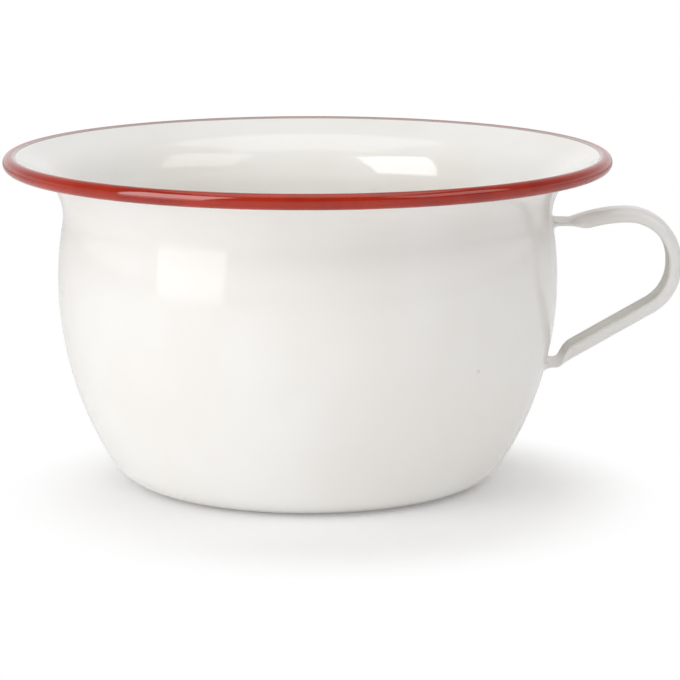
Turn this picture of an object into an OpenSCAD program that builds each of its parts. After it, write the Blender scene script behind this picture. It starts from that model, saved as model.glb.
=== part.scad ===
// Chamber pot of enamelled sheet steel: a drawn vessel with a rolled rim and a pressed strap handle.
// The pot stands on the origin, with its axis along Z and its handle along +X.

/* [Vessel] */
// Diameter over the rolled rim
rim_d = 220; // [200:1:240]
// Height over the rolled rim
height = 120; // [110:0.5:132]
// Diameter of the belly at its widest
belly_d = 181.5; // [176:0.5:186]
// Height of the belly's widest part
belly_z = 73.5; // [70:0.5:78]
// Radius of the belly's upright curve
belly_curve_r = 125; // [115:1:140]
// Radius of the corner between belly and base
corner_r = 18; // [12:0.5:22]
// Drop of the neck's narrowest part below the top of the rim
neck_drop = 22; // [20.5:0.5:25]
// Radius of the neck's hollow curve
neck_curve_r = 18; // [15:0.5:19]
// Diameter of the rim's roll
roll_d = 5.5; // [4.6:0.1:7]
// Angle of the roll from the lip to its cut edge, in degrees
roll_angle = 285; // [200:5:290]
// Thickness of the vessel's steel sheet
steel_t = 0.6; // [0.4:0.05:0.8]

/* [Base] */
// Width of the flat ring that the pot stands on
standing_w = 3; // [2:0.5:6]
// Rise of the middle panel above the standing ring
panel_rise = 1.5; // [0.8:0.1:3]
// Radius of the two bends round the middle panel
panel_bend_r = 4; // [2.5:0.5:6]

/* [Enamel] */
// Thickness of every coat of enamel
enamel_t = 0.25; // [0.15:0.05:0.4]
// Distance that the rim's colour runs in over the lip
rim_lap = 0.6; // [0.2:0.1:3]
// Height of the enamel fillet round a handle root
fillet_h = 1.6; // [1.2:0.1:2.5]
// Length of the enamel fillet along the handle's neck
fillet_len = 2.6; // [1.6:0.1:3.2]

/* [Handle] */
// Distance from the pot's axis to the outside of the grip
handle_reach = 136; // [130:0.5:146]
// Drop of the upper root below the neck's narrowest part
upper_root_drop = 3.7; // [2:0.1:7]
// Height of the lower root on the wall
lower_root_z = 42.1; // [36:0.1:46]
// Length of the flat neck at the upper root
upper_neck = 4; // [3.4:0.1:6]
// Length of the flat neck at the lower root
lower_neck = 3.6; // [3.4:0.1:6]
// Width of the flat necks
neck_w = 16.5; // [16:0.5:20]
// Radius of the bend where a neck meets its limb
root_bend_r = 6; // [4:0.5:9]
// Radius of the upper limb's long curve
limb_r = 52.5; // [46:0.5:70]
// Radius of the bend at the top of the grip
grip_top_r = 19.5; // [16:0.5:22]
// Radius of the bend at the bottom of the grip
grip_low_r = 19; // [14:0.5:21]
// Length of the straight part of the grip
grip_straight = 1.5; // [0.5:0.5:6]
// Thickness of the strap's steel
strap_t = 0.7; // [0.5:0.05:1]
// Width of the trough at its flange edges, at the middle of the sheet
trough_w = 12.8; // [11:0.2:13.6]
// Depth of the trough from its back to its flange edges, at the middle of the sheet
trough_depth = 4; // [3.6:0.1:5]
// Radius of the trough's two corners, at the middle of the sheet
trough_corner_r = 3.4; // [2.4:0.2:3.8]
// Slope of the trough's flanges, in degrees from its back
flange_slope = 82; // [70:1:88]
// Length over which a flat neck turns into the trough
trough_run = 9; // [6:0.5:12]

/* [Welds] */
// Leg of the weld round each end of the strap
weld_leg = 0.8; // [0.5:0.1:1]
// Clearance of the strap's ends, their welds and their coat from the wall
seat_gap = 0.03; // [0.02:0.01:0.1]

/* [Hidden] */
$fn = 180;
steel_colour = "slategray";
white_colour = "whitesmoke";
red_colour = "firebrick";

// Length of an arc
function arc_len(r, turn) = r * turn * PI / 180;

// Direction to the left of a heading
function left_of(heading) = [-sin(heading), cos(heading)];

// Step from a heading, over a length with a steady turn to the left
function run_step(heading, length, turn) =
    turn == 0
        ? length * [cos(heading), sin(heading)]
        : length / (turn * PI / 180) * (left_of(heading) - left_of(heading + turn));

// A line is a start point, a first heading, and runs of name, length, turn to the left and steps.
// A station on it is a point, a heading and a distance along the line.
function station_in(line, i, share) =
    let (run = line[2][i], at = i == 0 ? [line[0], line[1], 0] : station_in(line, i - 1, 1))
    [
        at[0] + run_step(at[1], run[1] * share, run[2] * share),
        at[1] + run[2] * share,
        at[2] + run[1] * share,
    ];

// Place of a named run in its line
function run_at(line, name) = search([name], line[2])[0];

// Station at a share of a named run
function station(line, name, share) = station_in(line, run_at(line, name), share);

// Stations from the start of one run to the end of another
function stations(line, first, last) =
    [
        for (i = [run_at(line, first):run_at(line, last)], k = [0:line[2][i][3] - 1])
            station_in(line, i, k / line[2][i][3]),
        station(line, last, 1),
    ];

// Turns a list round
function reversed(list) = [for (i = [len(list) - 1:-1:0]) list[i]];

// Depths through the vessel's wall, from its outside face to its inside face
steel_outside = enamel_t;
steel_inside = enamel_t + steel_t;
wall_t = steel_t + 2 * enamel_t;

// Centres of the arcs in the vessel's outline, as radius and height
belly_c = [belly_d / 2 - belly_curve_r, belly_z];
corner_span = belly_curve_r - corner_r;
corner_c = [belly_c.x + sqrt(corner_span ^ 2 - (belly_z - corner_r) ^ 2), corner_r];
neck_z = height - neck_drop;
neck_span = belly_curve_r + neck_curve_r;
neck_c = [belly_c.x + sqrt(neck_span ^ 2 - (neck_z - belly_z) ^ 2), neck_z];
roll_r = roll_d / 2;
roll_hollow_r = roll_r - wall_t;
roll_c = [rim_d / 2 - roll_r, height - roll_r];

// Slopes of the outline where its arcs meet
corner_slope = asin((belly_z - corner_r) / corner_span);
neck_slope = asin((neck_z - belly_z) / neck_span);
lip_sight = roll_c - neck_c;
lip_dip = asin((neck_curve_r - roll_hollow_r) / norm(lip_sight));
lip_slope = atan2(lip_sight.y, lip_sight.x) - lip_dip;
lip_len = norm(lip_sight) * cos(lip_dip);

// Edge of the base's middle panel
panel_bend = acos(1 - panel_rise / (2 * panel_bend_r));
panel_r = corner_c.x - standing_w - 2 * panel_bend_r * sin(panel_bend);

// Outside face of the vessel, from the middle of its base up the wall and round the rim's roll
corner_turn = 90 - corner_slope;
belly_turn = corner_slope + neck_slope;
neck_turn = 90 + neck_slope - lip_slope;
vessel_line = [
    [0, panel_rise],
    0,
    [
        ["panel", panel_r, 0, 1],
        ["panel_edge", arc_len(panel_bend_r, panel_bend), -panel_bend, 4],
        ["panel_foot", arc_len(panel_bend_r, panel_bend), panel_bend, 4],
        ["standing_ring", standing_w, 0, 1],
        ["corner", arc_len(corner_r, corner_turn), corner_turn, 12],
        ["belly", arc_len(belly_curve_r, belly_turn), belly_turn, 20],
        ["neck", arc_len(neck_curve_r, neck_turn), -neck_turn, 14],
        ["lip", lip_len - rim_lap, 0, 1],
        ["lap", rim_lap, 0, 1],
        ["roll", arc_len(roll_hollow_r, roll_angle), -roll_angle, 24],
    ],
];

// Radius of the wall at a height, at a depth below its outside face
function wall_r(z, depth) =
    z < belly_z + (belly_curve_r - depth) * sin(neck_slope)
        ? belly_c.x + sqrt((belly_curve_r - depth) ^ 2 - (z - belly_z) ^ 2)
        : neck_c.x - sqrt((neck_curve_r + depth) ^ 2 - (z - neck_z) ^ 2);

// Joints of the handle line with the wall, and the slopes of its limbs
grip_x = handle_reach - strap_t / 2 - enamel_t;
upper_root_z = neck_z - upper_root_drop;
lower_wall = wall_r(lower_root_z, steel_outside);
upper_wall = wall_r(upper_root_z, steel_outside);
lower_neck_len = lower_neck + enamel_t;
upper_neck_len = upper_neck + enamel_t;
upper_span = limb_r + root_bend_r;
upper_turn = asin((grip_x - grip_top_r - upper_wall - upper_neck_len) / upper_span);
grip_top_z = upper_root_z + upper_span * (1 - cos(upper_turn));
grip_low_c = [grip_x - grip_low_r, grip_top_z - grip_top_r - grip_straight];
limb_sight = grip_low_c - [lower_wall + lower_neck_len, lower_root_z + root_bend_r];
limb_dip = asin((grip_low_r - root_bend_r) / norm(limb_sight));
limb_slope = atan2(limb_sight.y, limb_sight.x) - limb_dip;

// Middle of the strap's back, from the lower root round to the upper root
handle_line = [
    [lower_wall, lower_root_z],
    0,
    [
        ["lower_neck", lower_neck_len, 0, 1],
        ["lower_bend", arc_len(root_bend_r, limb_slope), limb_slope, 5],
        ["lower_limb", norm(limb_sight) * cos(limb_dip), 0, 10],
        ["grip_bottom", arc_len(grip_low_r, 90 - limb_slope), 90 - limb_slope, 8],
        ["grip", grip_straight, 0, 1],
        ["grip_top", arc_len(grip_top_r, 90), 90, 11],
        ["upper_limb", arc_len(limb_r, upper_turn), upper_turn, 9],
        ["upper_bend", arc_len(root_bend_r, upper_turn), -upper_turn, 4],
        ["upper_neck", upper_neck_len, 0, 1],
    ],
];
handle_len = station(handle_line, "upper_neck", 1)[2];

// Stations at the lower and upper roots, close together under the fillets
fillet_shares = [0, 0.05, 0.15, 0.3, 0.5, 0.75];
lower_stations =
    [for (share = fillet_shares) station(handle_line, "lower_neck", share * fillet_len / lower_neck_len)];
upper_stations =
    [for (share = fillet_shares) station(handle_line, "upper_neck", 1 - share * fillet_len / upper_neck_len)];
handle_stations = concat(
    lower_stations,
    stations(handle_line, "lower_bend", "upper_bend"),
    reversed(upper_stations)
);

// Distance along the handle line from the nearer root
function from_root(d) = min(d, handle_len - d);

// Smooth step from 0 to 1
function smooth(t) = let (x = min(1, max(0, t))) x * x * (3 - 2 * x);

// Share of the full trough at a distance along the handle line, which starts at the ends of the necks
function trough_share(d) =
    min(
        smooth((d - lower_neck_len) / trough_run),
        smooth((handle_len - d - upper_neck_len) / trough_run)
    );

// Trough section at the middle of the sheet
flange_len = (trough_depth - trough_corner_r * (1 - cos(flange_slope))) / sin(flange_slope);
corner_len = arc_len(trough_corner_r, flange_slope);
back_half = trough_w / 2 - trough_corner_r * sin(flange_slope) - flange_len * cos(flange_slope);
trough_half = back_half + corner_len + flange_len;
corner_steps = 4;

// Half of the sheet's middle, from the back to the flange edge, with the corner bent by a share
function half_sheet(share, grow) =
    let (bend = share * flange_slope, half = neck_w / 2 + (trough_half - neck_w / 2) * share)
    [
        [back_half, 0],
        0,
        [["corner", corner_len, bend, corner_steps], ["flange", half + grow - back_half - corner_len, 0, 1]],
    ];

// One half of a section, from the flange edge to the back, on one face of the sheet
function half_section(share, grow, face) =
    [
        for (at = reversed(stations(half_sheet(share, grow), "corner", "flange")))
            at[0] - face * (strap_t / 2 + grow) * left_of(at[1])
    ];

// Flips section points to the other half
function flipped(list) = [for (p = list) [-p.x, p.y]];

// Whole section of the strap grown all round, as width and depth towards the inside of the loop
function section(share, grow) =
    let (outer = half_section(share, grow, 1), inner = half_section(share, grow, -1))
    concat(outer, reversed(flipped(outer)), flipped(inner), reversed(inner));

// Section set at a station; at a root its points lie a clearance off the wall at the given depth
function ring(at, grow, depth) =
    [
        for (p = section(trough_share(at[2]), grow))
            let (place = at[0] + p.y * left_of(at[1]), on_wall = from_root(at[2]) == 0)
            [on_wall ? sqrt(wall_r(place.y, depth - seat_gap) ^ 2 - p.x ^ 2) : place.x, p.x, place.y]
    ];

// Length of a weld along the strap, cut short where its edge would thin to nothing
weld_len = 0.9 * weld_leg;

// Growth of the weld round the strap, and of the coat over it, by the distance from the root
function weld_growth(d) = weld_leg * max(0, 1 - d / weld_leg);
function coat_growth(d) = enamel_t + fillet_h * (1 - sqrt(1 - max(0, 1 - d / fillet_len) ^ 2));

// Two triangles over four points
function quad(a, b, c, d) = [[a, c, b], [a, d, c]];

// Faces of a band between two rings of points, and the same faces turned over
function band(a, b, count) =
    [for (i = [0:count - 1]) each quad(a + i, b + i, b + (i + 1) % count, a + (i + 1) % count)];
function band_over(a, b, count) = [for (face = band(a, b, count)) reversed(face)];

// Faces that close a ring of points, from one face of its sheet to the other
function cap(a, count) =
    [for (i = [0:count / 2 - 2]) each quad(a + i, a + i + 1, a + count - 2 - i, a + count - 1 - i)];
function cap_over(a, count) = [for (face = cap(a, count)) reversed(face)];

// Skin through a row of rings, closed at both ends
module skin(rings) {
    count = len(rings[0]);
    last = (len(rings) - 1) * count;
    polyhedron(
        points = [for (r = rings) each r],
        faces = [
            each cap(0, count),
            for (k = [0:len(rings) - 2]) each band(k * count, (k + 1) * count, count),
            each cap_over(last, count),
        ]
    );
}

// Sleeve between an outer and an inner row of rings, open at both ends
module sleeve(outer, inner) {
    count = len(outer[0]);
    last = (len(outer) - 1) * count;
    shift = len(outer) * count;
    polyhedron(
        points = [for (r = concat(outer, inner)) each r],
        faces = [
            for (k = [0:len(outer) - 2]) each concat(
                band(k * count, (k + 1) * count, count),
                band_over(shift + k * count, shift + (k + 1) * count, count)
            ),
            each band_over(0, shift, count),
            each band(last, shift + last, count),
        ]
    );
}

// Layer of the vessel over some runs of its outline, between two depths below the outside face
module vessel_layer(first, last, near, far) {
    line = stations(vessel_line, first, last);
    rotate_extrude()
        polygon(concat(
            [for (at = line) at[0] + near * left_of(at[1])],
            [for (at = reversed(line)) at[0] + far * left_of(at[1])]
        ));
}

// Opening in the outer coat round a weld
module weld_opening(root_z) {
    translate([0, 0, root_z])
        rotate([90, 0, 90])
            linear_extrude(rim_d / 2)
                square([neck_w + 2 * weld_leg, strap_t + 2 * weld_leg], center = true);
}

// Weld round an end of the strap, from the wall to its thin edge
module weld(ends) {
    color(steel_colour)
        sleeve(
            [for (at = ends) ring(at, weld_growth(from_root(at[2])), steel_outside)],
            [for (at = ends) ring(at, 0, steel_outside)]
        );
}

// Drawn steel vessel with its rolled rim
module steel_vessel() {
    color(steel_colour)
        vessel_layer("panel", "roll", steel_outside, steel_inside);
}

// White coat inside the vessel, up to the edge of the rim's colour
module inner_enamel() {
    color(white_colour)
        vessel_layer("panel", "lip", steel_inside, wall_t);
}

// White coat outside the vessel, from the standing ring up to the roll, open round the two welds
module outer_enamel() {
    color(white_colour)
        difference() {
            vessel_layer("corner", "lap", 0, steel_outside);
            weld_opening(upper_root_z);
            weld_opening(lower_root_z);
        }
}

// White coat under the base, which the pot stands on
module base_enamel() {
    color(white_colour)
        vessel_layer("panel", "standing_ring", 0, steel_outside);
}

// Coloured coat over the rim's roll
module rim_enamel() {
    color(red_colour)
        vessel_layer("lap", "roll", steel_inside, wall_t);
}

// Pressed strap: flat necks, and a trough between them
module handle_strap() {
    color(steel_colour)
        skin([for (at = handle_stations) ring(at, 0, steel_outside)]);
}

// White coat on the strap, with a fillet round each root
module handle_enamel() {
    color(white_colour)
        sleeve(
            [for (at = handle_stations) ring(at, coat_growth(from_root(at[2])), 0)],
            [for (at = handle_stations) ring(at, weld_growth(from_root(at[2])), 0)]
        );
}

module upper_weld() {
    weld([
        station(handle_line, "upper_neck", 1 - weld_len / upper_neck_len),
        station(handle_line, "upper_neck", 1),
    ]);
}

module lower_weld() {
    weld([
        station(handle_line, "lower_neck", 0),
        station(handle_line, "lower_neck", weld_len / lower_neck_len),
    ]);
}

steel_vessel();
inner_enamel();
outer_enamel();
base_enamel();
rim_enamel();
handle_strap();
handle_enamel();
upper_weld();
lower_weld();
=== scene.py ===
"""Chamber pot of enamelled sheet steel: enamel coats, finishes, studio and camera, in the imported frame."""

import cmath
import math
from collections import namedtuple

import bpy
from mathutils import Euler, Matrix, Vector


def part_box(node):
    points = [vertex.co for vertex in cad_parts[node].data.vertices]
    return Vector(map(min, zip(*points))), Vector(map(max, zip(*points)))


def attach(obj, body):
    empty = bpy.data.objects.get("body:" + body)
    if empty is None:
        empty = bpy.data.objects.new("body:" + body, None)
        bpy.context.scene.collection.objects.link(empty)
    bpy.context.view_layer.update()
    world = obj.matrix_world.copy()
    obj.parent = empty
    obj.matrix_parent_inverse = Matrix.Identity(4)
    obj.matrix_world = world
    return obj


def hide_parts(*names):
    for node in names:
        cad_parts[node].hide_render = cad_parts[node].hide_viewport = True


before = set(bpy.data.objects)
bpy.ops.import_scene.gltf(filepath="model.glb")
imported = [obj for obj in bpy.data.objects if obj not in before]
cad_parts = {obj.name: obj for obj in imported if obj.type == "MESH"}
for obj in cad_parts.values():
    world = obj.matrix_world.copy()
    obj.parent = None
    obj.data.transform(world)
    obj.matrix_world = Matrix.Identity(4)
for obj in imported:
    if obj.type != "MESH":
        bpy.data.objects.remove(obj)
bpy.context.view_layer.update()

MM = 0.001
DEG = math.pi / 180

# Overall sizes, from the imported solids
RIM_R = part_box("rim_enamel")[1][0]
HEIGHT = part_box("rim_enamel")[1][2]
HANDLE_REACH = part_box("handle_enamel")[1][0]

# Sheets and coats
STEEL_T = 0.6 * MM
STRAP_T = 0.7 * MM
ENAMEL_T = 0.25 * MM
WALL_T = STEEL_T + 2 * ENAMEL_T

# Vessel
BELLY_R = 90.75 * MM
BELLY_Z = 73.5 * MM
BELLY_CURVE_R = 125 * MM
CORNER_R = 18 * MM
NECK_DROP = 22 * MM
NECK_CURVE_R = 18 * MM
ROLL_R = 2.75 * MM
ROLL_ANGLE = 285 * DEG
RIM_LAP = 0.6 * MM
STANDING_W = 3 * MM
PANEL_RISE = 1.5 * MM
PANEL_BEND_R = 4 * MM

# Handle
UPPER_ROOT_DROP = 3.7 * MM
LOWER_ROOT_Z = 42.1 * MM
UPPER_NECK = 4 * MM
LOWER_NECK = 3.6 * MM
NECK_W = 16.5 * MM
ROOT_BEND_R = 6 * MM
LIMB_R = 52.5 * MM
GRIP_TOP_R = 19.5 * MM
GRIP_LOW_R = 19 * MM
GRIP_STRAIGHT = 1.5 * MM
TROUGH_W = 12.8 * MM
TROUGH_DEPTH = 4 * MM
TROUGH_CORNER_R = 3.4 * MM
FLANGE_SLOPE = 82 * DEG
TROUGH_RUN = 9 * MM
FILLET_H = 1.6 * MM
FILLET_LEN = 2.6 * MM

# Fineness and joins of the meshes
SEGMENTS = 240
BACK_SHARES = (0, 0.4, 0.75)
CORNER_STEPS = 6
FLANGE_SHARES = (0.25, 0.5, 0.75)
EDGE_STEPS = 8
LEAST_BEND = 1e-4
SEAM = 0.001 * MM
SHARP_ANGLE = 35 * DEG
RAY_START = 10 * MM
RAY_LENGTH = 40 * MM
SINK = 0.03 * MM

# Colours in linear light
WHITE = (0.91, 0.9, 0.872, 1)
WARM_WHITE = (0.885, 0.863, 0.822, 1)
# Grey of thin glaze at edges and on the scuffed foot, also laid over the handle as painted shade
THIN_AND_SHADED_WHITE = (0.7, 0.69, 0.66, 1)
PIT_BROWN = (0.12, 0.08, 0.055, 1)
RED = (0.4, 0.02, 0.003, 1)
DEEP_RED = (0.31, 0.013, 0.002, 1)
PALE_RED = (0.47, 0.4, 0.375, 1)
THIN_RED = (0.21, 0.009, 0.006, 1)
STEEL = (0.42, 0.42, 0.43, 1)
DARK_STEEL = (0.27, 0.27, 0.28, 1)
PAPER = (0.9, 0.9, 0.9, 1)

# Glaze and its marks
GLAZE_IOR = 1.52
GLAZE_ROUGHNESS = 0.04
# Share by which the handle's glaze is dulled, and its colour greyed as painted shade
HANDLE_DULL_AND_SHADE = 0.45
RIPPLE_SIZE = 11 * MM
RIPPLE_H = 0.012 * MM
PEEL_SIZE = 1.4 * MM
PEEL_H = 0.001 * MM
PIT_GAP = 22 * MM
PIT_R = 0.36 * MM
SPECK = (58.8 * MM, -66.7 * MM, 52.1 * MM)
SPECK_FADE = (0.3 * MM, 1.2 * MM)
SPECK_SHARE = 0.14
SCUFF_HEIGHTS = (0.05 * MM, 0.5 * MM)

# Pale border of the red: radii over which it turns to full red, and heights over which it starts
PALE_RADII = (105.9 * MM, 107.2 * MM)
PALE_HEIGHTS = (117 * MM, 118 * MM)

# Grain of the drawn sheet
GRAIN_SIZE = 0.5 * MM
GRAIN_H = 0.004 * MM
GRAIN_STRETCH = (1, 1, 0.08)


# Lines in the plane of the vessel's outline

Run = namedtuple("Run", "name length turn steps")
Station = namedtuple("Station", "point heading distance")


def straight(name, length, steps):
    """Straight run of a line."""
    return Run(name, length, 0, steps)


def arc(name, radius, turn, steps):
    """Run of a line along an arc. A turn to the left is positive."""
    return Run(name, radius * abs(turn), turn, steps)


def step_along(heading, length, turn):
    """Step over a length with a steady turn to the left."""
    if turn == 0:
        return cmath.rect(length, heading)
    return (cmath.rect(length, heading + turn) - cmath.rect(length, heading)) / (1j * turn)


def left_of(heading):
    """Direction to the left of a heading."""
    return cmath.rect(1, heading + math.pi / 2)


def draw_line(start, heading, runs):
    """Stations along each run, by its name. A point is complex: its radius, and its height times 1j."""
    line = {}
    at = Station(start, heading, 0)
    for run in runs:
        shares = [k / run.steps for k in range(run.steps + 1)]
        line[run.name] = [
            Station(
                at.point + step_along(at.heading, run.length * share, run.turn * share),
                at.heading + run.turn * share,
                at.distance + run.length * share,
            )
            for share in shares
        ]
        at = line[run.name][-1]
    return line


def stations(line, first, last):
    """Stations from the start of one run to the end of another."""
    names = list(line)
    chosen = names[names.index(first):names.index(last) + 1]
    return [at for name in chosen for at in line[name][:-1]] + [line[last][-1]]


def vessel_centres():
    """Centres of the arcs in the vessel's outline: corner, belly, neck and roll."""
    belly = complex(BELLY_R - BELLY_CURVE_R, BELLY_Z)
    corner_span = BELLY_CURVE_R - CORNER_R
    corner = complex(belly.real + math.sqrt(corner_span**2 - (BELLY_Z - CORNER_R) ** 2), CORNER_R)
    neck_z = HEIGHT - NECK_DROP
    neck_span = BELLY_CURVE_R + NECK_CURVE_R
    neck = complex(belly.real + math.sqrt(neck_span**2 - (neck_z - BELLY_Z) ** 2), neck_z)
    roll = complex(RIM_R - ROLL_R, HEIGHT - ROLL_R)
    return corner, belly, neck, roll


def vessel_line():
    """Outside face of the vessel, from the middle of its base up the wall and round the rim's roll."""
    corner, belly, neck, roll = vessel_centres()
    corner_slope = math.asin((belly - corner).imag / (BELLY_CURVE_R - CORNER_R))
    neck_slope = math.asin((neck - belly).imag / (BELLY_CURVE_R + NECK_CURVE_R))
    hollow_r = ROLL_R - WALL_T
    sight = roll - neck
    dip = math.asin((NECK_CURVE_R - hollow_r) / abs(sight))
    lip_slope = cmath.phase(sight) - dip
    lip_len = abs(sight) * math.cos(dip)
    panel_bend = math.acos(1 - PANEL_RISE / (2 * PANEL_BEND_R))
    panel_r = corner.real - STANDING_W - 2 * PANEL_BEND_R * math.sin(panel_bend)
    return draw_line(
        complex(0, PANEL_RISE),
        0,
        [
            straight("panel", panel_r, steps=16),
            arc("panel_edge", PANEL_BEND_R, -panel_bend, steps=8),
            arc("panel_foot", PANEL_BEND_R, panel_bend, steps=8),
            straight("standing_ring", STANDING_W, steps=3),
            arc("corner", CORNER_R, 90 * DEG - corner_slope, steps=24),
            arc("belly", BELLY_CURVE_R, corner_slope + neck_slope, steps=44),
            arc("neck", NECK_CURVE_R, lip_slope - neck_slope - 90 * DEG, steps=28),
            straight("lip", lip_len - RIM_LAP, steps=6),
            straight("lap", RIM_LAP, steps=2),
            arc("roll", hollow_r, -ROLL_ANGLE, steps=56),
        ],
    )


def wall_r(z):
    """Radius of the vessel's outside face at the height of a handle root."""
    _, belly, neck, _ = vessel_centres()
    belly_top = belly.imag + BELLY_CURVE_R * (neck - belly).imag / (BELLY_CURVE_R + NECK_CURVE_R)
    if z < belly_top:
        return belly.real + math.sqrt(BELLY_CURVE_R**2 - (z - belly.imag) ** 2)
    return neck.real - math.sqrt(NECK_CURVE_R**2 - (z - neck.imag) ** 2)


def handle_line():
    """Middle of the strap's back, from the lower root round to the upper root."""
    upper_root_z = HEIGHT - NECK_DROP - UPPER_ROOT_DROP
    lower_wall = wall_r(LOWER_ROOT_Z)
    upper_wall = wall_r(upper_root_z)
    grip_x = HANDLE_REACH - STRAP_T / 2 - ENAMEL_T
    upper_span = LIMB_R + ROOT_BEND_R
    upper_turn = math.asin((grip_x - GRIP_TOP_R - upper_wall - UPPER_NECK) / upper_span)
    grip_top_z = upper_root_z + upper_span * (1 - math.cos(upper_turn))
    low_bend = complex(grip_x - GRIP_LOW_R, grip_top_z - GRIP_TOP_R - GRIP_STRAIGHT)
    sight = low_bend - complex(lower_wall + LOWER_NECK, LOWER_ROOT_Z + ROOT_BEND_R)
    dip = math.asin((GRIP_LOW_R - ROOT_BEND_R) / abs(sight))
    slope = cmath.phase(sight) - dip
    return draw_line(
        complex(lower_wall, LOWER_ROOT_Z),
        0,
        [
            straight("lower_neck", LOWER_NECK, steps=12),
            arc("lower_bend", ROOT_BEND_R, slope, steps=10),
            straight("lower_limb", abs(sight) * math.cos(dip), steps=30),
            arc("grip_bottom", GRIP_LOW_R, 90 * DEG - slope, steps=20),
            straight("grip", GRIP_STRAIGHT, steps=2),
            arc("grip_top", GRIP_TOP_R, 90 * DEG, steps=28),
            arc("upper_limb", LIMB_R, upper_turn, steps=24),
            arc("upper_bend", ROOT_BEND_R, -upper_turn, steps=8),
            straight("upper_neck", UPPER_NECK, steps=12),
        ],
    )


# Node trees


def find(sockets, key):
    """Socket with a number, an identifier or a name."""
    if isinstance(key, int):
        return sockets[key]
    return next(socket for socket in sockets if key in (socket.identifier, socket.name))


class Wire:
    """An output socket in an expression, where arithmetic adds Math nodes to its tree."""

    def __init__(self, tree, socket):
        self.tree = tree
        self.socket = socket

    def other(self, name):
        """Another output of the same node."""
        return Wire(self.tree, find(self.socket.node.outputs, name))

    def maths(self, operation, *values):
        """Math node on some values."""
        return self.tree.node("ShaderNodeMath", {"operation": operation}, dict(enumerate(values)))

    def __add__(self, other):
        return self.maths("ADD", self, other)

    __radd__ = __add__

    def __sub__(self, other):
        return self.maths("SUBTRACT", self, other)

    def __rsub__(self, other):
        return self.maths("SUBTRACT", other, self)

    def __mul__(self, other):
        return self.maths("MULTIPLY", self, other)

    __rmul__ = __mul__

    def __truediv__(self, other):
        return self.maths("DIVIDE", self, other)

    def __rtruediv__(self, other):
        return self.maths("DIVIDE", other, self)

    def __mod__(self, other):
        return self.maths("MODULO", self, other)

    def __floordiv__(self, other):
        return self.maths("FLOOR", self / other)

    def __gt__(self, other):
        return self.maths("GREATER_THAN", self, other)

    def sin(self):
        """Sine of an angle."""
        return self.maths("SINE", self)

    def cos(self):
        """Cosine of an angle."""
        return self.maths("COSINE", self)

    def at_least(self, least):
        """The larger of two values."""
        return self.maths("MAXIMUM", self, least)

    def ease(self, low, high):
        """Smooth step from 0 at one value to 1 at another."""
        return self.tree.node(
            "ShaderNodeMapRange",
            {"interpolation_type": "SMOOTHSTEP"},
            {"Value": self, "From Min": low, "From Max": high},
        )


class Tree:
    """A node tree that is filled one node at a time."""

    def __init__(self, group):
        self.group = group

    def node(self, kind, settings=None, sockets=None):
        """Adds a node: first its settings, then its sockets' values or links. Gives its first output."""
        node = self.group.nodes.new(kind)
        for name, value in (settings or {}).items():
            setattr(node, name, value)
        for key, value in (sockets or {}).items():
            socket = find(node.inputs, key)
            if isinstance(value, Wire):
                self.group.links.new(value.socket, socket)
            else:
                socket.default_value = value
        return Wire(self, node.outputs[0]) if node.outputs else None

    def noise(self, place, size, detail):
        """Cloudy noise from 0 to 1, with patches of about a size."""
        return self.node("ShaderNodeTexNoise", {}, {"Vector": place, "Scale": 1 / size, "Detail": detail})

    def blend(self, share, first, second):
        """Mix of two colours."""
        mix = self.node(
            "ShaderNodeMix",
            {"data_type": "RGBA"},
            {"Factor_Float": share, "A_Color": first, "B_Color": second},
        )
        return mix.other("Result_Color")

    def length(self, vector):
        """Length of a vector."""
        return self.node("ShaderNodeVectorMath", {"operation": "LENGTH"}, {0: vector}).other("Value")


# Geometry trees


def geometry_tree(name, inputs):
    """New tree with a geometry input and some named inputs, and the wire of its first input."""
    group = bpy.data.node_groups.new(name, "GeometryNodeTree")
    group.interface.new_socket("Geometry", in_out="INPUT", socket_type="NodeSocketGeometry")
    for label, kind in inputs.items():
        group.interface.new_socket(label, in_out="INPUT", socket_type="NodeSocket" + kind)
    group.interface.new_socket("Geometry", in_out="OUTPUT", socket_type="NodeSocketGeometry")
    tree = Tree(group)
    return tree, tree.node("NodeGroupInput")


def point_count(tree, geometry):
    """Number of points in a row of points."""
    size = tree.node("GeometryNodeAttributeDomainSize", {"component": "MESH"}, {"Geometry": geometry})
    return size.other("Point Count")


def sheet_of(tree, rows, columns):
    """Flat grid, with the row and the column of each of its points."""
    grid = tree.node("GeometryNodeMeshGrid", {}, {"Vertices X": columns, "Vertices Y": rows})
    index = tree.node("GeometryNodeInputIndex")
    return grid, index % rows, index // rows


def sample(tree, geometry, index, name):
    """Named value of one point in a row of points."""
    value = tree.node("GeometryNodeInputNamedAttribute", {"data_type": "FLOAT"}, {"Name": name})
    return tree.node(
        "GeometryNodeSampleIndex",
        {"data_type": "FLOAT"},
        {"Geometry": geometry, "Value": value, "Index": index},
    )


def shaped(tree, mesh, x, y, z):
    """Moves the points of a grid to their places."""
    place = tree.node("ShaderNodeCombineXYZ", {}, {"X": x, "Y": y, "Z": z})
    return tree.node("GeometryNodeSetPosition", {}, {"Geometry": mesh, "Position": place})


def close_tree(tree, mesh, material):
    """Closes seams and poles, shades the mesh smooth between its sharp edges and gives it its material."""
    whole = tree.node("GeometryNodeMergeByDistance", {}, {"Geometry": mesh, "Distance": SEAM})
    smooth = tree.node("GeometryNodeSetShadeSmooth", {"domain": "FACE"}, {0: whole, "Shade Smooth": True})
    angle = tree.node("GeometryNodeInputMeshEdgeAngle")
    edged = tree.node(
        "GeometryNodeSetShadeSmooth",
        {"domain": "EDGE"},
        {0: smooth, "Selection": angle > SHARP_ANGLE, "Shade Smooth": False},
    )
    real = tree.node("GeometryNodeRealizeInstances", {}, {"Geometry": edged})
    painted = tree.node("GeometryNodeSetMaterial", {}, {"Geometry": real, "Material": material})
    tree.node("NodeGroupOutput", {}, {"Geometry": painted})


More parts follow.
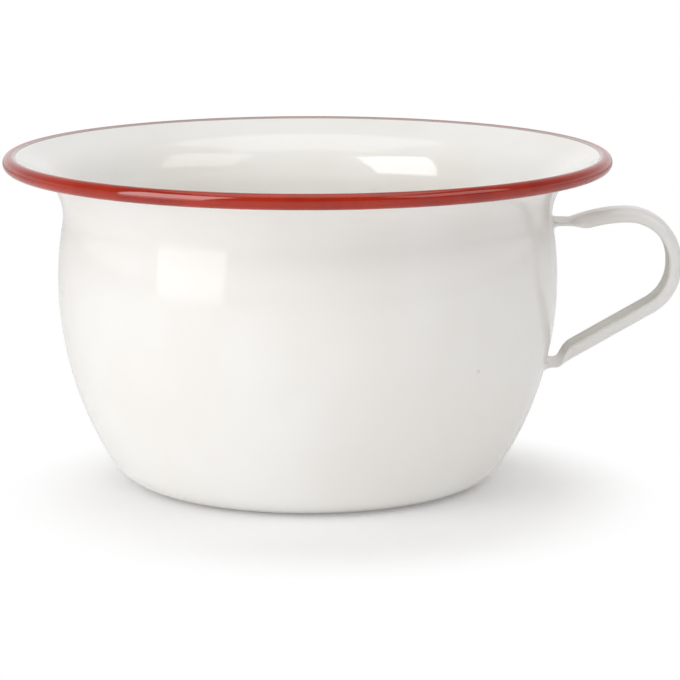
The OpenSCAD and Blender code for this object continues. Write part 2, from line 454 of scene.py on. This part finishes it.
def lathe_tree():
    """Turns an outline round the axis. Closing is 1 for a closed outline and 0 for one from axis to axis."""
    tree, outline = geometry_tree("Lathe", {"Segments": "Int", "Closing": "Int", "Material": "Material"})
    count = point_count(tree, outline)
    segments = outline.other("Segments")
    grid, row, column = sheet_of(tree, count + outline.other("Closing"), segments + 1)
    radius = sample(tree, outline, row % count, "radius")
    height = sample(tree, outline, row % count, "height")
    turn = column / segments * (2 * math.pi)
    mesh = shaped(tree, grid, radius * turn.cos(), radius * turn.sin(), height)
    close_tree(tree, mesh, outline.other("Material"))
    return tree


def wall_hit(tree, wall, x, y, z):
    """X where a ray in the direction of minus X meets the wall. It starts farther out than the place."""
    start = tree.node("ShaderNodeCombineXYZ", {}, {"X": x + RAY_START, "Y": y, "Z": z})
    target = tree.node("GeometryNodeObjectInfo", {}, {"Object": wall}).other("Geometry")
    ray = tree.node(
        "GeometryNodeRaycast",
        {},
        {
            "Target Geometry": target,
            "Source Position": start,
            "Ray Direction": (-1, 0, 0),
            "Ray Length": RAY_LENGTH,
        },
    )
    return tree.node("ShaderNodeSeparateXYZ", {}, {"Vector": ray.other("Hit Position")})


def strap_tree():
    """Draws a coat along a path: a row for each station, and a column for each point of the section."""
    tree, path = geometry_tree(
        "Strap coat",
        {
            "Section": "Object",
            "Wall": "Object",
            "Back half": "Float",
            "Corner length": "Float",
            "Flange slope": "Float",
            "Neck half": "Float",
            "Trough half": "Float",
            "Sheet half": "Float",
            "Fillet length": "Float",
            "Material": "Material",
        },
    )
    section = tree.node("GeometryNodeObjectInfo", {}, {"Object": path.other("Section")}).other("Geometry")
    rows = point_count(tree, path)
    columns = point_count(tree, section)
    grid, row, column = sheet_of(tree, rows + 1, columns + 1)
    station = row % rows
    point = column % columns

    # The sheet's middle, bent by the share of the trough at its station
    trough = sample(tree, path, station, "trough")
    back = sample(tree, section, point, "back")
    corner = sample(tree, section, point, "corner")
    flange = sample(tree, section, point, "flange")
    back_half = path.other("Back half")
    corner_len = path.other("Corner length")
    neck_half = path.other("Neck half")
    sheet_half = path.other("Sheet half")
    bend = (trough * path.other("Flange slope")).at_least(LEAST_BEND)
    bend_r = corner_len / bend
    turned = corner * bend
    half = neck_half + (path.other("Trough half") - neck_half) * trough
    flange_len = (half - back_half - corner_len - sheet_half) * flange
    reach = back * back_half + bend_r * turned.sin() + flange_len * turned.cos()
    depth = bend_r * (1 - turned.cos()) + flange_len * turned.sin()

    # The face of the coat, off the sheet's middle
    thick = sheet_half + sample(tree, path, station, "growth")
    out = sample(tree, section, point, "out") * thick
    tip = sample(tree, section, point, "tip") * thick
    side = sample(tree, section, point, "side")
    across = side * (reach + tip * turned.cos() - out * turned.sin())
    inward = depth + tip * turned.sin() + out * turned.cos()

    # The station's place, leaning on to the wall at the roots
    heading = sample(tree, path, station, "heading")
    x = sample(tree, path, station, "radius") - inward * heading.sin()
    z = sample(tree, path, station, "height") + inward * heading.cos()
    hit = wall_hit(tree, path.other("Wall"), x, across, z)
    lean = (1 - sample(tree, path, station, "from_root") / path.other("Fillet length")).at_least(0)
    seat = hit - SINK - sample(tree, path, station, "root_radius")
    mesh = shaped(tree, grid, x + seat * lean, across, z)
    marked = tree.node(
        "GeometryNodeStoreNamedAttribute",
        {"data_type": "FLOAT", "domain": "POINT"},
        {"Geometry": mesh, "Name": "edge", "Value": flange * trough},
    )
    close_tree(tree, marked, path.other("Material"))
    return tree


def point_row(name, values):
    """Row of loose points that carries named values."""
    count = len(next(iter(values.values())))
    mesh = bpy.data.meshes.new(name)
    mesh.from_pydata([(0, 0, 0)] * count, [], [])
    for label, numbers in values.items():
        mesh.attributes.new(label, "FLOAT", "POINT").data.foreach_set("value", numbers)
    row = bpy.data.objects.new(name, mesh)
    bpy.context.scene.collection.objects.link(row)
    return row


def built(tree, piece, values):
    """Runs a tree on a row of points and keeps the result as the piece's plain mesh, with one material."""
    modifier = piece.modifiers.new("Build", "NODES")
    modifier.node_group = tree.group
    for socket in tree.group.interface.items_tree:
        if socket.in_out == "INPUT" and socket.name in values:
            modifier[socket.identifier] = values[socket.name]
    evaluated = piece.evaluated_get(bpy.context.evaluated_depsgraph_get())
    mesh = bpy.data.meshes.new_from_object(evaluated)
    mesh.materials.pop(index=0)
    piece.modifiers.remove(modifier)
    piece.data = mesh
    return piece


# Enamel coats


def turned_coat(tree, name, face, depths, material):
    """Coat that is round like the vessel, over some stations and between two depths below them."""
    near, far = depths
    outer = [at.point + near * left_of(at.heading) for at in face]
    inner = [at.point + far * left_of(at.heading) for at in reversed(face)]
    outline = outer + inner
    closing = 0 if abs(outline[0].real) < SEAM else 1
    values = {"radius": [point.real for point in outline], "height": [point.imag for point in outline]}
    row = point_row(name, values)
    return built(tree, row, {"Segments": SEGMENTS, "Closing": closing, "Material": material})


def smooth_step(share):
    """Smooth step from 0 to 1."""
    x = min(1, max(0, share))
    return x * x * (3 - 2 * x)


def station_values(at, face, coated):
    """Values of the strap's coat at one station of its face."""
    length = face[-1].distance
    lower = at.distance < length / 2
    root = face[0] if lower else face[-1]
    neck_len = LOWER_NECK if lower else UPPER_NECK
    from_root = min(at.distance, length - at.distance)
    fillet = max(0, 1 - from_root / FILLET_LEN)
    growth = ENAMEL_T + FILLET_H * (1 - math.sqrt(1 - fillet**2))
    return {
        "radius": at.point.real,
        "height": at.point.imag,
        "heading": at.heading,
        "trough": smooth_step((from_root - neck_len) / TROUGH_RUN),
        "growth": growth if coated else 0,
        "from_root": from_root,
        "root_radius": root.point.real,
    }


def strap_path(line):
    """Values at the stations of the coat: along its outer face, then back along the strap."""
    face = stations(line, "lower_neck", "upper_neck")
    rows = [station_values(at, face, True) for at in face]
    rows += [station_values(at, face, False) for at in reversed(face)]
    return {name: [row[name] for row in rows] for name in rows[0]}


def strap_section():
    """Points round the sheet: out over one half, round its edge and in again, then over the other half."""
    face = [(share, 0, 0) for share in BACK_SHARES]
    face += [(1, k / CORNER_STEPS, 0) for k in range(CORNER_STEPS + 1)]
    face += [(1, 1, share) for share in FLANGE_SHARES]
    edge_turns = [(k / EDGE_STEPS - 1 / 2) * math.pi for k in range(EDGE_STEPS + 1)]
    half = [(*sheet, -1, 0) for sheet in face]
    half += [(1, 1, 1, math.sin(turn), math.cos(turn)) for turn in edge_turns]
    half += [(*sheet, 1, 0) for sheet in reversed(face)]
    loop = [(1, *point) for point in half] + [(-1, *point) for point in reversed(half[1:-1])]
    names = ("side", "back", "corner", "flange", "out", "tip")
    return {name: [point[k] for point in loop] for k, name in enumerate(names)}


def strap_coat(tree, name, wall, material):
    """Coat on the handle's strap, with a fillet round each root on the wall."""
    corner_rise = TROUGH_CORNER_R * (1 - math.cos(FLANGE_SLOPE))
    corner_len = TROUGH_CORNER_R * FLANGE_SLOPE
    flange_len = (TROUGH_DEPTH - corner_rise) / math.sin(FLANGE_SLOPE)
    flange_reach = TROUGH_CORNER_R * math.sin(FLANGE_SLOPE) + flange_len * math.cos(FLANGE_SLOPE)
    back_half = TROUGH_W / 2 - flange_reach
    section = point_row("strap_section", strap_section())
    piece = built(
        tree,
        point_row(name, strap_path(handle_line())),
        {
            "Section": section,
            "Wall": wall,
            "Back half": back_half,
            "Corner length": corner_len,
            "Flange slope": FLANGE_SLOPE,
            "Neck half": NECK_W / 2,
            "Trough half": back_half + corner_len + flange_len,
            "Sheet half": STRAP_T / 2,
            "Fillet length": FILLET_LEN,
            "Material": material,
        },
    )
    bpy.data.objects.remove(section)
    return piece


# Finishes


def new_material(name):
    """Empty node material, with its tree."""
    material = bpy.data.materials.new(name)
    material.use_nodes = True
    material.node_tree.nodes.clear()
    return material, Tree(material.node_tree)


def surface(tree, sockets):
    """Principled surface of a material."""
    shader = tree.node("ShaderNodeBsdfPrincipled", {}, sockets)
    tree.node("ShaderNodeOutputMaterial", {}, {"Surface": shader})


def object_place(tree):
    """Place of a point in its object."""
    return tree.node("ShaderNodeTexCoord").other("Object")


def height_of(tree, place):
    """Height of a place."""
    return tree.node("ShaderNodeSeparateXYZ", {}, {"Vector": place}).other("Z")


def radius_of(tree, place):
    """Distance of a place from the pot's axis."""
    level = tree.node("ShaderNodeVectorMath", {"operation": "MULTIPLY"}, {0: place, 1: (1, 1, 0)})
    return tree.length(level)


def bump(tree, height):
    """Normal of a surface with small heights in metres."""
    return tree.node("ShaderNodeBump", {}, {"Strength": 1, "Distance": 1, "Height": height})


def glaze_bump(tree, place):
    """Long ripples and fine orange peel of a fired glaze."""
    ripple = tree.noise(place, size=RIPPLE_SIZE, detail=1) * RIPPLE_H
    return bump(tree, ripple + tree.noise(place, size=PEEL_SIZE, detail=1) * PEEL_H)


def pits(tree, place):
    """Small pits here and there in the glaze."""
    off = tree.node("ShaderNodeTexVoronoi", {}, {"Vector": place, "Scale": 1 / PIT_GAP}) * PIT_GAP
    return 1 - off.ease(PIT_R / 2, PIT_R)


def one_speck(tree, place):
    """The one faint speck on the front of the pot."""
    off = tree.node("ShaderNodeVectorMath", {"operation": "DISTANCE"}, {0: place, 1: SPECK}).other("Value")
    return (1 - off.ease(*SPECK_FADE)) * SPECK_SHARE


def white_enamel(name, dull_and_shade):
    """White glaze: warm in patches, with dark pits, thin grey edges and a scuffed foot. The handle's share
    dulls it and greys it as painted shade.
    """
    material, tree = new_material(name)
    place = object_place(tree)
    cast = tree.noise(place, size=55 * MM, detail=2).ease(0.35, 0.65)
    patch = tree.noise(place, size=3 * MM, detail=3)
    edge = tree.node("ShaderNodeAttribute", {"attribute_name": "edge"}).other("Fac")
    thin = edge.ease(0.9, 1) * patch * 0.5
    scuff = (1 - height_of(tree, place).ease(*SCUFF_HEIGHTS)) * patch.ease(0.4, 0.6)
    pit = pits(tree, place)
    glaze = tree.blend(cast, WHITE, WARM_WHITE)
    # The handle's share greys the colour as painted shade; the thin edges and the scuffed foot are the
    # glaze's own grey.
    greyed = tree.blend(dull_and_shade + thin + scuff * 0.5, glaze, THIN_AND_SHADED_WHITE)
    dulled = 0.5 * dull_and_shade + 0.04 * patch + 0.1 * thin + 0.3 * scuff + 0.3 * pit
    surface(
        tree,
        {
            "Base Color": tree.blend(pit + one_speck(tree, place), greyed, PIT_BROWN),
            "Roughness": GLAZE_ROUGHNESS + dulled,
            "IOR": GLAZE_IOR,
            "Normal": glaze_bump(tree, place),
        },
    )
    return material


def red_enamel():
    """Red glaze on the rim: deeper in patches, thin and dark in small spots, and pale inside the crest."""
    material, tree = new_material("red_enamel")
    place = object_place(tree)
    deep = tree.noise(place, size=14 * MM, detail=2).ease(0.35, 0.7)
    patch = tree.noise(place, size=1.6 * MM, detail=3)
    thin = patch.ease(0.66, 0.78)
    within = 1 - radius_of(tree, place).ease(*PALE_RADII)
    pale = within * height_of(tree, place).ease(*PALE_HEIGHTS)
    glaze = tree.blend(pale, tree.blend(deep, RED, DEEP_RED), PALE_RED)
    surface(
        tree,
        {
            "Base Color": tree.blend(thin, glaze, THIN_RED),
            "Roughness": GLAZE_ROUGHNESS + 0.05 * patch,
            "IOR": GLAZE_IOR,
            "Normal": glaze_bump(tree, place),
        },
    )
    return material


def sheet_steel():
    """Dull drawn sheet under the coats, with a fine grain up the wall."""
    material, tree = new_material("sheet_steel")
    place = object_place(tree)
    drawn = tree.node("ShaderNodeMapping", {}, {"Vector": place, "Scale": GRAIN_STRETCH})
    grain = tree.noise(drawn, size=GRAIN_SIZE, detail=2)
    cloud = tree.noise(place, size=20 * MM, detail=3)
    surface(
        tree,
        {
            "Base Color": tree.blend(cloud.ease(0.3, 0.7), STEEL, DARK_STEEL),
            "Metallic": 1,
            "Roughness": 0.35 + 0.2 * grain,
            "Normal": bump(tree, grain * GRAIN_H),
        },
    )
    return material


# Studio

LAMP_TARGET = Vector((0, 0, 70 * MM))

# Levels of the room's walls: as the light on the pot, and as its gloss mirrors them
Room = namedtuple("Room", "front back left right ceiling")
ROOM_LIGHT = Room(front=0.95, back=1.9, left=0.3, right=0, ceiling=0)
ROOM_GLOSS = Room(front=0.15, back=0.95, left=0.3, right=0.3, ceiling=0.2)

# Pale horizon in the gloss, and the upward parts of a direction over which it gives way to the walls
SWEEP_GLOSS = 0.9
SWEEP_TOP = (0.1, 0.3)

# Floor: half its side, its middle, the distances from there over which it fades to white, and its glow
FLOOR_HALF = 3
FLOOR_MIDDLE = (8 * MM, -30 * MM, 0)
FLOOR_FADE = (0.075, 0.122)
FLOOR_GLOW = 0.095

# Camera, fitted to the outlines in the photograph
LENS_MM = 162.3
SENSOR_MM = 36
CAMERA_PLACE = (0, -1102.6 * MM, 264.1 * MM)
CAMERA_TILT = 79.03 * DEG
CAMERA_TURN = -0.607 * DEG


def room_level(toward, room):
    """Level of a room in a direction. Each wall counts by the square of the direction's part toward it."""
    x = toward.other("X")
    y = toward.other("Y")
    z = toward.other("Z")
    sides = room.left + (room.right - room.left) * (x > 0)
    ends = room.front + (room.back - room.front) * (y > 0)
    return sides * x * x + ends * y * y + room.ceiling * z * z


def seen_by_camera(path):
    """1 for the rays that the camera sees by, straight or through clear things, and 0 for the others."""
    return path.other("Is Camera Ray").at_least(path.other("Is Transmission Ray"))


def white_world():
    """Soft light of a pale room. Gloss mirrors its walls over a pale horizon; the camera sees plain white."""
    world = bpy.data.worlds.new("studio")
    bpy.context.scene.world = world
    world.use_nodes = True
    world.node_tree.nodes.clear()
    tree = Tree(world.node_tree)
    toward = tree.node("ShaderNodeSeparateXYZ", {}, {"Vector": tree.node("ShaderNodeTexCoord")})
    light = room_level(toward, ROOM_LIGHT)
    walls = room_level(toward, ROOM_GLOSS)
    gloss = SWEEP_GLOSS + (walls - SWEEP_GLOSS) * toward.other("Z").ease(*SWEEP_TOP)
    path = tree.node("ShaderNodeLightPath")
    unseen = light + (gloss - light) * path.other("Is Glossy Ray")
    level = unseen + (1 - unseen) * seen_by_camera(path)
    backdrop = tree.node("ShaderNodeBackground", {}, {"Color": (1, 1, 1, 1), "Strength": level})
    tree.node("ShaderNodeOutputWorld", {}, {"Surface": backdrop})


def floor_material():
    """White paper that keeps the pot's shadow and fades into the background; from below it is clear."""
    material, tree = new_material("studio_floor")
    seen = seen_by_camera(tree.node("ShaderNodeLightPath"))
    away = tree.length(object_place(tree))
    paper = tree.node("ShaderNodeBsdfDiffuse", {}, {"Color": PAPER})
    glow = tree.node("ShaderNodeEmission", {}, {"Strength": FLOOR_GLOW})
    lit = tree.node("ShaderNodeAddShader", {}, {0: paper, 1: glow})
    white = tree.node("ShaderNodeEmission")
    faded = tree.node("ShaderNodeMixShader", {}, {0: away.ease(*FLOOR_FADE) * seen, 1: lit, 2: white})
    clear = tree.node("ShaderNodeBsdfTransparent")
    below = tree.node("ShaderNodeNewGeometry").other("Backfacing")
    both = tree.node("ShaderNodeMixShader", {}, {0: below, 1: faded, 2: clear})
    tree.node("ShaderNodeOutputMaterial", {}, {"Surface": both})
    return material


def studio_floor():
    """Wide flat floor under the pot."""
    mesh = bpy.data.meshes.new("floor")
    corners = [(-1, -1), (1, -1), (1, 1), (-1, 1)]
    mesh.from_pydata([(x * FLOOR_HALF, y * FLOOR_HALF, 0) for x, y in corners], [], [(0, 1, 2, 3)])
    mesh.materials.append(floor_material())
    floor = bpy.data.objects.new("floor", mesh)
    floor.location = FLOOR_MIDDLE
    bpy.context.scene.collection.objects.link(floor)


def softbox(name, aim, distance, size, radiance):
    """Area lamp that faces the pot, at an azimuth to the right of the camera's side and an elevation."""
    azimuth, elevation = aim
    width, height = size
    lamp = bpy.data.lights.new(name, "AREA")
    lamp.shape = "RECTANGLE"
    lamp.size = width
    lamp.size_y = height
    lamp.energy = radiance * math.pi * width * height
    box = bpy.data.objects.new(name, lamp)
    level = math.cos(elevation)
    toward = Vector((math.sin(azimuth) * level, -math.cos(azimuth) * level, math.sin(elevation)))
    box.location = LAMP_TARGET + distance * toward
    box.rotation_euler = toward.to_track_quat("Z", "Y").to_euler()
    box.visible_camera = False
    bpy.context.scene.collection.objects.link(box)
    return box


def studio_lamps():
    """Softboxes round the pot. The glint shows only in the gloss, and the high front lamp never does."""
    softbox("key", aim=(-52.5 * DEG, 22 * DEG), distance=0.9, size=(0.56, 0.92), radiance=2)
    glint = softbox("glint", aim=(-52.5 * DEG, 30 * DEG), distance=0.85, size=(0.53, 0.62), radiance=3.3)
    glint.visible_diffuse = False
    softbox("fill", aim=(62 * DEG, 42 * DEG), distance=1.2, size=(0.8, 0.58), radiance=2)
    front_high = softbox("front_high", aim=(-10 * DEG, 60 * DEG), distance=1.2, size=(0.6, 0.6), radiance=1)
    front_high.visible_glossy = False
    softbox("over", aim=(0, 90 * DEG), distance=0.9, size=(0.8, 0.8), radiance=1.2)


def studio_camera():
    """Camera a little above the rim, as in the photograph."""
    lens = bpy.data.cameras.new("camera")
    lens.lens = LENS_MM
    lens.sensor_width = SENSOR_MM
    camera = bpy.data.objects.new("camera", lens)
    camera.location = CAMERA_PLACE
    camera.rotation_euler = Euler((CAMERA_TILT, 0, CAMERA_TURN))
    bpy.context.scene.collection.objects.link(camera)
    bpy.context.scene.camera = camera


# The pot

white = white_enamel("white_enamel", dull_and_shade=0)
# The handle's glaze: duller, and greyed as painted shade
dull_shaded_white = white_enamel("dull_shaded_white_enamel", dull_and_shade=HANDLE_DULL_AND_SHADE)
red = red_enamel()
steel = sheet_steel()
wall_line = vessel_line()
lathe = lathe_tree()

# Depths of the coats on the two sides of the sheet, below the outside face
outside = (0, ENAMEL_T)
inside = (ENAMEL_T + STEEL_T, WALL_T)
inner_coat = turned_coat(lathe, "inner_coat", stations(wall_line, "panel", "lip"), inside, white)
outer_coat = turned_coat(lathe, "outer_coat", stations(wall_line, "corner", "lap"), outside, white)
base_coat = turned_coat(lathe, "base_coat", stations(wall_line, "panel", "standing_ring"), outside, white)
rim_coat = turned_coat(lathe, "rim_coat", stations(wall_line, "lap", "roll"), inside, red)
handle_coat = strap_coat(strap_tree(), "handle_coat", outer_coat, dull_shaded_white)

coats = {
    "inner_enamel": (inner_coat, "white_enamel"),
    "outer_enamel": (outer_coat, "white_enamel"),
    "base_enamel": (base_coat, "white_enamel"),
    "rim_enamel": (rim_coat, "red_enamel"),
    "handle_enamel": (handle_coat, "white_enamel"),
}
for node, (coat, finish) in coats.items():
    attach(coat, "root")
    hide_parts(node)

for node in ("steel_vessel", "handle_strap", "upper_weld", "lower_weld"):
    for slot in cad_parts[node].material_slots:
        slot.material = steel

white_world()
studio_floor()
studio_lamps()
studio_camera()
bpy.context.scene.view_settings.view_transform = "Standard"
